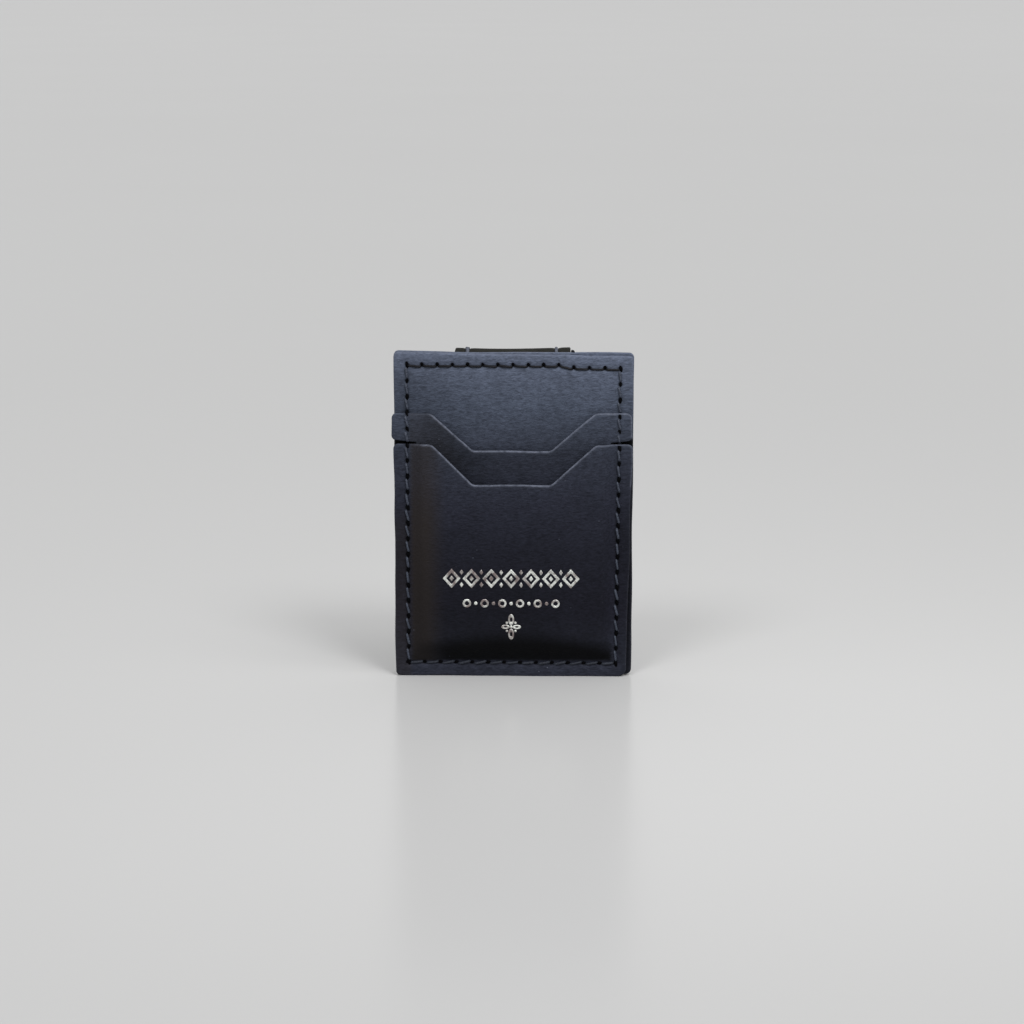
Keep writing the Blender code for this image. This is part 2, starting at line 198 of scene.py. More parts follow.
def rounded(corners, steps=8):
    """A closed outline from (u, v, radius) corners, each rounded by an arc."""
    made = []
    for i, (u, v, radius) in enumerate(corners):
        point = np.array((u, v), float)
        before = unit(np.array(corners[i - 1][:2]) - point)
        after = unit(np.array(corners[(i + 1) % len(corners)][:2]) - point)
        if radius == 0:
            made.append(point)
            continue
        half = math.acos(np.clip(before @ after, -1, 1)) / 2
        center = point + unit(before + after) * radius / math.sin(half)
        start = point + before * radius / math.tan(half)
        side = before[0] * after[1] - before[1] * after[0]
        turn = (math.pi - 2 * half) * (-1 if side > 0 else 1)
        made += arc_points(center, start, turn, steps)
    return np.array(made)


def resampled(outline, step):
    """The closed outline with no side longer than step."""
    made = []
    for a, b in zip(outline, np.roll(outline, -1, axis=0)):
        count = max(1, int(math.ceil(np.linalg.norm(b - a) / step - 1e-6)))
        made += [a + (b - a) * i / count for i in range(count)]
    return np.array(made)


def wavy(outline, size, scale, seed):
    """A hand-cut edge: the outline moved a little, smoothly and unevenly."""
    moved = []
    for u, v in outline:
        p = Vector((u * scale, v * scale, seed))
        moved.append((u + size * noise.noise(p), v + size * noise.noise(p + Vector((9, 4, 7)))))
    return np.array(moved)


def hand_cut(corners, seed, size=0.00030, scale=75):
    return wavy(resampled(rounded(corners), CUT_STEP), size, scale, seed)


def circle(u, v, radius, count=24, flat=1.0, turn=0.0):
    """A circle, flattened and then turned."""
    c, s = math.cos(turn), math.sin(turn)
    made = []
    for k in range(count):
        a = 2 * math.pi * k / count
        x, y = radius * math.cos(a), radius * flat * math.sin(a)
        made.append((u + x * c - y * s, v + x * s + y * c))
    return made


def inset(outline, distance):
    """The closed outline, moved inwards by a small distance."""
    before = outline - np.roll(outline, 1, axis=0)
    after = np.roll(outline, -1, axis=0) - outline
    normal = before / np.linalg.norm(before, axis=1)[:, None]
    normal = normal + after / np.linalg.norm(after, axis=1)[:, None]
    normal = np.stack((-normal[:, 1], normal[:, 0]), axis=1)
    normal /= np.linalg.norm(normal, axis=1)[:, None]
    return outline + normal * distance


def distance_to(points, a, b):
    """Distance from each point to the nearest of the segments a to b."""
    best = np.full(len(points), 1e9)
    for start, end in zip(a, b):
        side = end - start
        t = np.clip(((points - start) @ side) / max(side @ side, 1e-18), 0, 1)
        gap = points - start - t[:, None] * side
        best = np.minimum(best, np.einsum("ij,ij->i", gap, gap))
    return np.sqrt(best)


def inside(points, outline):
    """Which points lie inside the closed outline."""
    found = np.zeros(len(points), bool)
    for (u0, v0), (u1, v1) in zip(outline, np.roll(outline, -1, axis=0)):
        if v0 == v1:
            continue
        crosses = (points[:, 1] > v0) != (points[:, 1] > v1)
        u = u0 + (points[:, 1] - v0) * (u1 - u0) / (v1 - v0)
        found ^= crosses & (points[:, 0] < u)
    return found


def lattice(low, high, step):
    """Points of a triangular grid over a rectangle."""
    rows = np.arange(low[1], high[1], step * 0.866)
    columns = np.arange(low[0], high[0], step)
    made = [(u + step / 2 * (i % 2), v) for i, v in enumerate(rows) for u in columns]
    return np.array(made)


def filled(cloud, rim):
    """Triangles over the points of a cloud that lie in a rim: the points, their faces
    and the rim again, by its new places among the points."""
    found = delaunay_2d_cdt([Vector(p) for p in cloud], [], [rim], 1, 1e-9)
    origin = {old: new for new, olds in enumerate(found[3]) for old in olds}
    flat = np.array([tuple(p) for p in found[0]])
    return flat, [tuple(f)[::-1] for f in found[2]], [origin[i] for i in rim]


def closed_faces(tops, rim, count):
    """A closed sheet's faces, where the bottom's points follow the count points of the top."""
    bottoms = [tuple(i + count for i in reversed(f)) for f in tops]
    sides = [(a, a + count, b + count, b) for a, b in zip(rim, rim[1:] + rim[:1]) if a != b]
    return tops + bottoms + sides


def field(u, v, scale, seed):
    """Smooth noise over the surface, about -1 to 1."""
    return np.array([noise.noise(Vector((a * scale, b * scale, seed))) for a, b in zip(u, v)])


def new_object(name, points, faces):
    mesh = bpy.data.meshes.new(name)
    mesh.from_pydata([tuple(p) for p in points], [], [tuple(f) for f in faces])
    mesh.validate()
    mesh.update()
    mesh.shade_smooth()
    obj = bpy.data.objects.new(name, mesh)
    bpy.context.scene.collection.objects.link(obj)
    return obj


def store(obj, name, values):
    """A value at each vertex, for the material to read."""
    attribute = obj.data.attributes.new(name, "FLOAT", "POINT")
    attribute.data.foreach_set("value", np.asarray(values, np.float32))


# --- seams ---


def seam_runs(corners):
    """Evenly spaced holes, one row for each straight run from corner to corner."""
    made = []
    for a, b in zip(corners, corners[1:]):
        a, b = np.array(a, float), np.array(b, float)
        count = max(1, round(np.linalg.norm(b - a) / STITCH_PITCH))
        made.append([a + (b - a) * i / count for i in range(count + 1)])
    return made


SEAM_CORNERS = [
    (SEAM_LEFT, SEAM_TOP),
    (SEAM_LEFT, SEAM_BOTTOM),
    (SEAM_RIGHT - SEAM_LEAN, SEAM_BOTTOM - SEAM_FOOT_DROP),
    (SEAM_RIGHT, SEAM_TOP - SEAM_DROP),
    (SEAM_STEP_RIGHT, SEAM_TOP - SEAM_STEP_DROP),
    (SEAM_STEP_LEFT, SEAM_TOP),
    (SEAM_LEFT, SEAM_TOP),
]
SEAM_RUNS = seam_runs(SEAM_CORNERS)


def held_runs(low, high):
    """The stretches of the perimeter seam between two heights."""
    found = [[hole for hole in run if low < hole[1] < high] for run in SEAM_RUNS]
    return [run for run in found if len(run) > 1]


EAR_RUNS = held_runs(EAR_BOTTOM - 0.001, UPPER_HIGH.z + 0.0002)
POCKET_RUNS = held_runs(0, LOWER_HIGH.z + 0.0008)


def pressed(u, v, runs, hole_depth, line_depth):
    """How far a seam draws the leather in at each point."""
    points = np.stack((u, v), axis=1)
    depth = np.zeros(len(points))
    for run in runs:
        for hole in run:
            gap = np.sum((points - hole) ** 2, axis=1)
            depth = np.maximum(depth, hole_depth * np.exp(-gap / HOLE_REACH**2))
    starts = np.array([run[0] for run in runs])
    ends = np.array([run[-1] for run in runs])
    line = distance_to(points, starts, ends)
    return depth + line_depth * np.exp(-((line / LINE_REACH) ** 2))


def near_seam(runs, step=0.00028, spread=0.0003):
    """Extra mesh points beside a seam, so that its dents have a shape."""
    made = []
    for run in runs:
        a, b = run[0], run[-1]
        side = unit(b - a)
        normal = np.array((-side[1], side[0]))
        count = int(np.linalg.norm(b - a) / step)
        for i in range(1, count):
            for row in range(-3, 4):
                along = a + (b - a) * (i + 0.5 * (row % 2)) / count
                made.append(along + normal * row * spread)
    return np.array(made)


# --- leather pieces ---

EDGE_STEP = 0.0004
EDGE_RINGS = (0.00005, 0.00012, 0.00022, 0.00036, 0.00055)
RUBBED_REACH = 0.00032
SEAM_BAND = 0.00115
THINNEST = 0.00005


def rounding(gap, radius):
    """How far a rounded edge falls away at a distance in from the outline."""
    rest = np.clip(radius - gap, 0.0, radius)
    return radius - np.sqrt(radius**2 - rest**2)


def evenly(value):
    """The same value at every (u, v) point."""
    return lambda u, v: np.full(len(u), float(value))


def leather(
    name, outline, front, back, place, seams, step=0.0009, extra=None, edge=0.00045, sharp=(),
    wear=evenly(0.2), shade=evenly(0), warm=evenly(0),
):
    """A closed piece of leather over an outline in (u, v).

    front and back give the depth of its two faces, and place turns (u, v, depth)
    into a place on the object. sharp holds ends of sides that keep a square edge.
    seams holds the runs of holes through the piece. wear gives how worn the cut edge is,
    shade how far painted shade darkens the face and warm how strongly a painted warm
    reflection tints it, each from 0 to 1.
    """
    outline = resampled(outline, EDGE_STEP)
    starts, ends = outline, np.roll(outline, -1, axis=0)
    rings = [inset(outline, gap) for gap in EDGE_RINGS]
    rings = [ring[inside(ring, outline)] for ring in rings]
    grid = lattice(outline.min(axis=0), outline.max(axis=0), step)
    rough = inset(outline, EDGE_RINGS[-1] + 0.0001)
    first = np.array([run[0] for run in seams])
    last = np.array([run[-1] for run in seams])
    grid = grid[distance_to(grid, first, last) > SEAM_BAND]
    inner_points = np.concatenate([grid, *([] if extra is None else [extra]), near_seam(seams)])
    inner_points = inner_points[inside(inner_points, rough)]
    cloud = np.concatenate([outline, *rings, inner_points])
    cloud = np.unique(np.round(cloud, 7), axis=0)
    rim = [int(np.argmin(np.sum((cloud - p) ** 2, axis=1))) for p in outline]
    flat, tops, rim = filled(cloud, rim)
    soft = np.ones(len(starts), bool)
    for a, b in sharp:
        on = distance_to(starts, [np.array(a)], [np.array(b)]) < 1e-6
        on_next = distance_to(ends, [np.array(a)], [np.array(b)]) < 1e-6
        soft &= ~(on & on_next)
    gap = distance_to(flat, starts[soft], ends[soft])
    u, v = flat[:, 0], flat[:, 1]
    fall = rounding(gap, edge)
    front_depth = front(u, v) + fall
    back_depth = np.maximum(back(u, v) - rounding(gap, edge * 0.6), front_depth + THINNEST)
    top = place(u, v, front_depth)
    bottom = place(u, v, back_depth)
    obj = new_object(name, np.concatenate([top, bottom]), closed_faces(tops, rim, len(flat)))
    rubbed = np.exp(-((gap / RUBBED_REACH) ** 2)) * wear(u, v)
    store(obj, "edge_wear", np.tile(rubbed, 2))
    store(obj, "shade", np.tile(shade(u, v), 2))
    store(obj, "warm", np.tile(warm(u, v), 2))
    # Painted shade in the seam's dents, strongest at the holes.
    store(obj, "dent_shade", np.tile(np.clip(pressed(u, v, seams, 1.0, 0.35), 0, 1), 2))
    make_outward(obj)
    return obj


def make_outward(obj):
    shape = bmesh.new()
    shape.from_mesh(obj.data)
    bmesh.ops.recalc_face_normals(shape, faces=shape.faces)
    shape.to_mesh(obj.data)
    shape.free()


def upright(u, v, depth):
    """Front-facing leather: u is X, v is Z, and depth runs back along Y."""
    return np.stack((u, depth, v), axis=1)


def backwards(u, v, depth):
    """Back-facing leather: depth runs forwards from the back face."""
    return np.stack((u, -depth, v), axis=1)


def panel_outline(low, high, seed, drop, top_edge):
    """A panel's outline, hand cut: its right end is lower by drop, and top_edge
    holds (u, drop) for the places on the way to the left end."""
    r = CORNER_RADIUS
    corners = [
        (low.x, low.z, r),
        (high.x, low.z + PANEL_FOOT_RISE, 1.2 * r),
        (high.x, high.z - drop, r),
        *[(u, high.z - fall, 0) for u, fall in top_edge],
        (low.x, high.z, r),
    ]
    return hand_cut(corners, seed, 0.00022, 60)


def notch(top, bottom):
    r = CORNER_RADIUS
    return [
        (NOTCH_HALF_TOP, top, 2 * r),
        (NOTCH_RIGHT, bottom, 1.5 * r),
        (NOTCH_LEFT, bottom, 1.5 * r),
        (-NOTCH_HALF_TOP, top, 2 * r),
    ]


def right_margin(u, v):
    """The panels' right edge, beside the lower pocket, where painted shade darkens them."""
    return smoothstep(u, 0.0296, 0.0312) * falling(v, 0.050, 0.066)


def front_panel():
    def front(u, v):
        swell = PANEL_SWELL * field(u, v, 60, 3.0)
        return FRONT_FACE + swell + pressed(u, v, SEAM_RUNS, *PANEL_DENTS)

    # Painted shade: a shadow in the slot under the ears, and darker strips along the right edge beside the
    # lower pocket and on the left side.
    def shade(u, v):
        slot = smoothstep(v, POCKET_TOP - 0.0012, POCKET_TOP - 0.0004)
        slot *= falling(v, EAR_BOTTOM, EAR_BOTTOM + 0.0007)
        slot *= smoothstep(np.abs(u), STEM_HALF_WIDTH - 0.002, STEM_HALF_WIDTH - 0.0005)
        left = 0.34 * falling(u, -0.032, -0.006) * falling(v, 0.084, 0.094)
        return np.maximum(np.maximum(slot, 0.70 * right_margin(u, v)), left)

    outline = panel_outline(PANEL_LOW, PANEL_HIGH, 1.0, FRONT_TOP_DROP, FRONT_TOP_EDGE)
    back = evenly(PANEL_HIGH.y + PANEL_OVERLAP)
    piece = leather("front_panel_leather", outline, front, back, upright, SEAM_RUNS, shade=shade)
    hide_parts("front_panel")
    return piece


def back_panel():
    def front(u, v):
        swell = PANEL_SWELL * field(u, v, 60, 8.0)
        return -BACK_FACE + swell + pressed(u, v, SEAM_RUNS, *PANEL_DENTS)

    # Painted shade along the right edge, beside the lower pocket.
    def shade(u, v):
        return 0.62 * right_margin(u, v)

    outline = panel_outline(BACK_LOW, BACK_HIGH, 2.0, BACK_TOP_DROP, BACK_TOP_EDGE)
    back = evenly(-BACK_LOW.y + PANEL_OVERLAP)
    piece = leather("back_panel_leather", outline, front, back, backwards, SEAM_RUNS, shade=shade)
    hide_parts("back_panel")
    return piece


def upper_pocket():
    stem = STEM_HALF_WIDTH
    r = CORNER_RADIUS
    corners = [
        (-stem, UPPER_LOW.z, r),
        (stem - SEAM_LEAN, UPPER_LOW.z, r),
        (stem, EAR_BOTTOM - EAR_TAPER, 0),
        (UPPER_HIGH.x - EAR_INSET, EAR_BOTTOM, r),
        (UPPER_HIGH.x - EAR_INSET, UPPER_HIGH.z, 1.3 * r),
        *notch(UPPER_HIGH.z, UPPER_NOTCH_BOTTOM),
        (UPPER_LOW.x, UPPER_HIGH.z, r),
        (UPPER_LOW.x, EAR_BOTTOM + 0.0002, r),
        (-stem, EAR_BOTTOM - EAR_TAPER, 0),
    ]

    def front(u, v):
        swell = 0.00010 * field(u, v, 70, 11.0)
        return POCKET_FACE + swell + pressed(u, v, EAR_RUNS, *EAR_DENTS)

    def wear(u, v):
        notch_part = falling(np.abs(u), NOTCH_HALF_TOP - 0.0010, NOTCH_HALF_TOP + 0.0012)
        ear_part = 0.75 * smoothstep(u, 0.018, 0.024) * (v > EAR_BOTTOM + 0.001)
        return 0.08 + 0.92 * np.maximum(notch_part, ear_part) * (v > UPPER_NOTCH_BOTTOM - 0.001)

    # Painted shade: a little all over, more on the left slope of the notch and low down, near the lower
    # pocket's edge.
    def shade(u, v):
        return 0.08 + 0.36 * np.exp(-(((u + 0.018) / 0.010) ** 2)) + 0.10 * falling(v, 0.060, 0.070)

    # Painted warm reflection on the left side, near the left seam.
    def warm(u, v):
        return 0.32 * smoothstep(u, SEAM_LEFT, SEAM_LEFT + 0.0012) * falling(u, -0.022, -0.012)

    piece = leather(
        "upper_pocket_leather", hand_cut(corners, 5.0), front, evenly(UPPER_HIGH.y + POCKET_OVERLAP),
        upright, EAR_RUNS, wear=wear, shade=shade, warm=warm,
    )
    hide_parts("upper_pocket")
    return piece


def puckers(u, v):
    """Where the leather is drawn up and catches the light, below each bottom stitch."""
    found = np.zeros(len(u))
    for hole in SEAM_RUNS[1]:
        gap = ((u - hole[0] - 0.0006) / 0.0009) ** 2 + ((v - hole[1] + 0.0011) / 0.0006) ** 2
        found = np.maximum(found, np.exp(-gap))
    return found


def pocket_bulge(u, v):
    """How far the lower pocket stands off its sewn border, from 0 to 1."""
    lean = SEAM_LEAN * np.clip(1 - v / LOWER_HIGH.z, 0, 1)
    left = u - (SEAM_LEFT + SEAM_MARGIN)
    right = SEAM_RIGHT - SEAM_MARGIN - lean - u
    foot = v - (SEAM_BOTTOM + SEAM_MARGIN)
    across = smoothstep(np.minimum(left, right), 0.0, 0.0042)
    return across * smoothstep(foot, 0.0, 0.0062)


def pocket_face(u, v):
    """Depth of the lower pocket's front, without the dents of its seam."""
    swell = 0.00014 * field(u, v, 45, 21.0)
    crown = CROWN * np.cos(np.clip(u / SEAM_RIGHT, -1, 1) * math.pi / 2)
    return POCKET_FACE - (BULGE_DEPTH - CROWN + crown) * pocket_bulge(u, v) + swell


def lower_pocket():
    r = CORNER_RADIUS
    top = POCKET_TOP
    corners = [
        (LOWER_LOW.x, LOWER_LOW.z, r),
        (LOWER_HIGH.x - RIGHT_TRIM, LOWER_LOW.z, 1.6 * r),
        (LOWER_HIGH.x, top, r),
        *notch(top, LOWER_NOTCH_BOTTOM),
        (LOWER_LOW.x, top, r),
    ]

    def front(u, v):
        dents = pressed(u, v, POCKET_RUNS, *POCKET_DENTS)
        return pocket_face(u, v) + dents - PUCKER_RISE * puckers(u, v)

    def back(u, v):
        behind = pocket_face(u, v) + POCKET_THICKNESS
        sewn = LOWER_HIGH.y + POCKET_OVERLAP - POCKET_FACE - POCKET_THICKNESS
        return behind + sewn * (1 - pocket_bulge(u, v))

    def wear(u, v):
        notch_part = falling(np.abs(u), 0.0225, 0.0285)
        right_part = 0.5 * smoothstep(u, 0.018, 0.024)
        return 0.10 + 0.90 * np.maximum(notch_part, right_part) * (v > LOWER_NOTCH_BOTTOM - 0.001)

    def inner(u):
        """Between the side seams."""
        within_left = smoothstep(u, SEAM_LEFT + 0.0004, SEAM_LEFT + 0.0014)
        return within_left * falling(u, SEAM_RIGHT - 0.0026, SEAM_RIGHT - 0.0010)

    def flank(u):
        """Just inside the left seam."""
        return inner(u) * falling(u, -0.025, -0.018)

    # Painted shade: the raised pocket grows darker further down, darkest in a band just above the bottom
    # seam; the borders and the strip inside the right seam are darkened too.
    def shade(u, v):
        raised = pocket_bulge(u, v) ** 0.5
        body = (0.42 - 0.10 * smoothstep(u, 0.004, 0.016)) * raised * (1 - 0.75 * flank(u))
        deep = (0.24 + body) * falling(v, 0.012, 0.060) - 0.03 * falling(v, 0.0035, 0.0055)
        deep += (0.22 - 0.10 * raised) * np.exp(-(((v - 0.038) / 0.014) ** 2)) * (1 - flank(u))
        deep += 0.20 * smoothstep(u, SEAM_RIGHT - 0.0016, SEAM_RIGHT) * falling(v, 0.045, 0.060)
        # Painted highlight below each bottom stitch, where the puckers catch the light.
        deep -= 0.26 * puckers(u, v)
        band_top = 0.0155 - 0.0045 * (u / SEAM_RIGHT) ** 2
        foot = smoothstep(v, SEAM_BOTTOM + 0.0002, SEAM_BOTTOM + 0.0010)
        foot *= falling(v, band_top - 0.006, band_top) * inner(u) * (1 - 0.55 * flank(u))
        return deep + (0.98 - deep) * foot

    # Painted warm reflection on the left flank of the pocket and on its left border.
    def warm(u, v):
        border = falling(u, SEAM_LEFT + 0.0002, SEAM_LEFT + 0.0012) * falling(v, 0.040, 0.052)
        body = flank(u) * (0.56 + 0.24 * falling(v, 0.040, 0.062))
        above_seam = smoothstep(v, SEAM_BOTTOM + 0.0001, SEAM_BOTTOM + 0.0009)
        return np.maximum(0.38 * border, body * above_seam)

    piece = leather(
        "lower_pocket_leather", hand_cut(corners, 7.0), front, back, upright, POCKET_RUNS,
        wear=wear, shade=shade, warm=warm,
    )
    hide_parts("lower_pocket")
    return piece


# --- the strap ---


def strap_place(u, v, depth):
    """u is X, v is the way along the strap from the fold's start, and depth runs in
    from the strap's outer surface. The way is measured at the fold's middle radius."""
    radius = FOLD_RADIUS - depth
    length = math.pi * FOLD_WAY_RADIUS
    angle = np.clip(v / FOLD_WAY_RADIUS, 0, math.pi)
    straight = np.where(v < 0, v, np.where(v > length, length - v, 0.0))
    y = FOLD_Y - radius * np.cos(angle)
    z = FOLD_Z + radius * np.sin(angle) + straight
    return np.stack((u, y, z), axis=1)


def strap_runs(near):
    """One half's seam: from the fold down one side, across and up the other."""
    start = FOLD_HALF_WAY
    end = 2 * FOLD_HALF_WAY + STRAP_SEAM_END
    corners = [
        (STRAP_SEAM_LEFT, start),
        (STRAP_SEAM_LEFT, end),
        (STRAP_SEAM_RIGHT, end),
        (STRAP_SEAM_RIGHT, start),
    ]
    runs = seam_runs(corners)
    if near:
        runs = [[np.array((u, 2 * FOLD_HALF_WAY - v)) for u, v in run] for run in runs]
    return runs


def leaf_outline(near):
    """Half of the strap. Its left side is drawn in a little where it folds."""
    end = 2 * FOLD_HALF_WAY + LEAF_LENGTH
    r = LEAF_CORNER
    pinched = STRAP_LEFT + PINCH
    if near:
        corners = [
            (STRAP_LEFT, 2 * FOLD_HALF_WAY - end, r),
            (STRAP_RIGHT, 2 * FOLD_HALF_WAY - end, r),
            (STRAP_RIGHT, FOLD_HALF_WAY, 0),
            (pinched, FOLD_HALF_WAY, 0),
            (STRAP_LEFT, FOLD_HALF_WAY - PINCH_REACH, 0),
        ]
    else:
        corners = [
            (pinched, FOLD_HALF_WAY, 0),
            (STRAP_RIGHT, FOLD_HALF_WAY, 0),
            (STRAP_RIGHT, end, r),
            (STRAP_LEFT, end, r),
            (STRAP_LEFT, FOLD_HALF_WAY + PINCH_REACH, 0),
        ]
    return rounded(corners, 12)


def fold_crease(u, v):
    """How far the strap's outer leather sinks at the fold, most in the middle."""
    side = (u - STRAP_X) / (STRAP_RIGHT - STRAP_X)
    sag = 0.00012 + 0.00030 * np.cos(side * math.pi / 2) - 0.00012 * side
    return sag * np.exp(-(((v - FOLD_HALF_WAY) / FOLD_RADIUS) ** 2))


def strap_half(layer, near):
    outer, inner = LAYERS[layer]
    runs = strap_runs(near)
    seen_from_inside = layer == "lining"

    def front(u, v):
        dents = 0.0 if seen_from_inside else pressed(u, v, runs, *STRAP_DENTS) + fold_crease(u, v)
        return outer + 0.00006 * field(u, v, 80, 31.0) + dents

    def back(u, v):
        dents = pressed(u, v, runs, *LINING_DENTS) if seen_from_inside else 0.0
        return inner - dents + np.zeros(len(u))

    cut = [((STRAP_LEFT, FOLD_HALF_WAY), (STRAP_RIGHT, FOLD_HALF_WAY))]
    name = "strap_" + layer + ("_near" if near else "_far")
    fold_rows = lattice((STRAP_LEFT, -0.002), (STRAP_RIGHT, 4 * FOLD_HALF_WAY), 0.0005)
    return leather(
        name, leaf_outline(near), front, back, strap_place, runs,
        step=0.0011, extra=fold_rows, edge=0.0004, sharp=cut,
    )


def bend_near(piece):
    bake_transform(piece)


def bend_far(piece):
    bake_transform(piece)


# --- stitches ---

ROPE_SIDES = 10
ROPE_STEPS = 12
STITCH_LIFT = 0.75  # thread radii
STITCH_DIVE = 1.7
SLIT_SIDES = 12


def rope(path, out, radius, turns=5):
    """One stitch of two-ply thread along a path, as points and faces."""
    path = np.array(path)
    points = []
    for i, p in enumerate(path):
        ahead = unit(path[min(i + 1, len(path) - 1)] - path[max(i - 1, 0)])
        side = unit(np.cross(ahead, out))
        up = np.cross(side, ahead)
        t = i / (len(path) - 1)
        for k in range(ROPE_SIDES):
            a = 2 * math.pi * k / ROPE_SIDES
            r = radius * (0.86 + 0.2 * abs(math.cos(a - turns * math.pi * t)))
            points.append(p + side * r * math.cos(a) + up * r * math.sin(a))
    faces = []
    for i in range(len(path) - 1):
        for k in range(ROPE_SIDES):
            n = (k + 1) % ROPE_SIDES
            here, there = i * ROPE_SIDES, (i + 1) * ROPE_SIDES
            faces.append((here + k, here + n, there + n, there + k))
    last = (len(path) - 1) * ROPE_SIDES
    faces.append(tuple(reversed(range(ROPE_SIDES))))
    faces.append(tuple(last + k for k in range(ROPE_SIDES)))
    return points, faces


def stitch_path(a, b, depth, place, radius, shift):
    """From hole to hole: out of the leather, over it, and in again."""
    side = unit(b - a)
    normal = np.array((-side[1], side[0]))
    starts = a + side * shift[0] + normal * shift[1]
    ends = b - side * shift[0] + normal * shift[2]
    u, v = starts[:, None] + (ends - starts)[:, None] * np.arange(ROPE_STEPS + 1) / ROPE_STEPS
    ending = (2 * np.linspace(0, 1, ROPE_STEPS + 1) - 1) ** 8
    lift = radius * STITCH_LIFT * (1 - ending) - radius * STITCH_DIVE * ending
    return place(u, v, depth(u, v) - lift)


def add_shape(shapes, points, faces):
    base = sum(len(p) for p, _ in shapes)
    shapes.append((points, [tuple(i + base for i in f) for f in faces]))


def joined(name, shapes):
    points = [p for part, _ in shapes for p in part]
    faces = [f for _, part in shapes for f in part]
    return new_object(name, points, faces)


def seam_stitches(name, runs, depth, place, out, radius, shifts, tones, skip=None):
    """Every stitch of a seam. shifts holds each run's slant and tones how pale its thread is with painted
    highlight.
    """
    shapes, shown = [], []
    for run, shift, tone in zip(runs, shifts, tones):
        for i, (a, b) in enumerate(zip(run, run[1:])):
            if skip and skip((a + b) / 2):
                continue
            sway = 0.00011 * math.sin(7.3 * i + len(run))
            slant = (shift[0], shift[1] + sway, shift[2] - sway)
            thick = radius * (1 + 0.10 * math.sin(4.9 * i))
            points, faces = rope(stitch_path(a, b, depth, place, thick, slant), out, thick)
            add_shape(shapes, points, faces)
            shown += [tone] * len(points)
    piece = joined(name, shapes)
    store(piece, "tone", shown)
    return piece


def slit(center, angle, depth, place, size):
    """The dark mouth of one awl hole, as a thin disc laid in its dent: painted shade for the hole's shadowed
    inside.
    """
    u, v = np.transpose(circle(*center, size[0], SLIT_SIDES, size[1] / size[0], angle))
    top = place(u, v, depth(u, v) - 0.00006)
    bottom = place(u, v, depth(u, v) + 0.0002)
    ring = list(range(SLIT_SIDES))
    return [*top, *bottom], closed_faces([tuple(ring)], ring, SLIT_SIDES)


def seam_slits(name, depth, place, skip=None):
    """The mouths of the perimeter seam's holes, on one face: dark discs of painted shade."""
    shapes = []
    for run, angle, size, move in zip(SEAM_RUNS, SLIT_ANGLES, SLIT_SIZES, SLIT_OFFSETS):
        for i, hole in enumerate(run):
            if skip and skip(hole):
                continue
            turn = angle + 0.25 * math.sin(5.1 * i)
            grown = [side * (1 + 0.16 * math.sin(3.7 * i + len(run))) for side in size]
            add_shape(shapes, *slit(hole + np.array(move), turn, depth, place, grown))
    piece = joined(name, shapes)
    make_outward(piece)
    return piece


def front_depth(u, v):
    """Depth of whatever leather is in front, with the dents of the seam."""
    ear = (v < UPPER_HIGH.z) & (v > EAR_BOTTOM)
    pocket = v < LOWER_HIGH.z
    face = np.where(ear, POCKET_FACE, np.where(pocket, pocket_face(u, v), FRONT_FACE))
    return face + pressed(u, v, SEAM_RUNS, *THREAD_DENTS)


def back_depth(u, v):
    return -BACK_FACE + pressed(u, v, SEAM_RUNS, *THREAD_DENTS)


# One entry for each run of the perimeter seam. A shift is how much a stitch is shortened
# at each end, and how far its two ends are moved sideways.
STITCH_SHIFTS = [
    (0.0008, -0.00040, 0.00022),
    (0.0006, -0.00024, 0.00034),
    (0.0008, -0.00022, 0.00040),
    *[(0.0002, 0.00040, 0.00024)] * 3,
]
# How much painted highlight each run's thread gets: full on the sides, less at the bottom, none along the
# top.
STITCH_HIGHLIGHTS = [1.0, 0.45, 1.0, 0.0, 0.0, 0.0]
SLIT_ANGLES = [math.radians(a) for a in (98, 12, 98, 100, 100, 100)]
SLIT_SIZES = [
    (0.00088, 0.00040),
    (0.00066, 0.00038),
    (0.00088, 0.00040),
    *[(0.00054, 0.00040)] * 3,
]
SLIT_OFFSETS = [(0.00008, 0.0), (0.0, 0.0001), (0.00008, 0.0), *[(0.0, 0.00022)] * 3]

TAIL_WAY = (
    (0.00040, 0.0003, -0.0016),
    (0.00042, 0.0003, -0.0001),
    (0.00052, 0.0, 0.0003),
    (0.00070, -0.0006, 0.0003),
    (0.00092, -0.0012, 0.0001),
)


def under_strap(point):
    return STRAP_LEFT - 0.0005 < point[0] < STRAP_RIGHT + 0.0005 and point[1] > SEAM_BOTTOM + 0.01


def thread_tail():
    """The cut end of the strap's thread, out of the gap behind the panel and over its edge."""
    edge = BACK_HIGH.z - BACK_TOP_DROP
    places = [(STRAP_RIGHT + x, BACK_FACE + y, edge + z) for x, y, z in TAIL_WAY]
    points, faces = rope(places, np.array((0.6, 0.0, 0.8)), STITCH_RADIUS, 2)
    piece = new_object("strap_thread_tail", points, faces)
    store(piece, "tone", np.zeros(len(points)))
    return piece


def perimeter_seam():
    """The stitches and the slits of the front, and then those of the back."""
    toward_front = np.array((0.0, -1.0, 0.0))
    thread = (STITCH_RADIUS, STITCH_SHIFTS, STITCH_HIGHLIGHTS)
    stitches = seam_stitches(
        "perimeter_stitches_front", SEAM_RUNS, front_depth, upright, toward_front, *thread
    )
    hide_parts("perimeter_thread_front")
    slits = seam_slits("awl_slits_front", front_depth, upright)
    behind = seam_stitches(
        "perimeter_stitches_back", SEAM_RUNS, back_depth, backwards, -toward_front, *thread, under_strap
    )
    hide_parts("perimeter_thread_back")
    behind_slits = seam_slits("awl_slits_back", back_depth, backwards, under_strap)
    return [stitches, slits, behind, behind_slits]


# --- foil ornament ---

FOIL_LIFT = 0.00003
FOIL_STEP = 0.0003


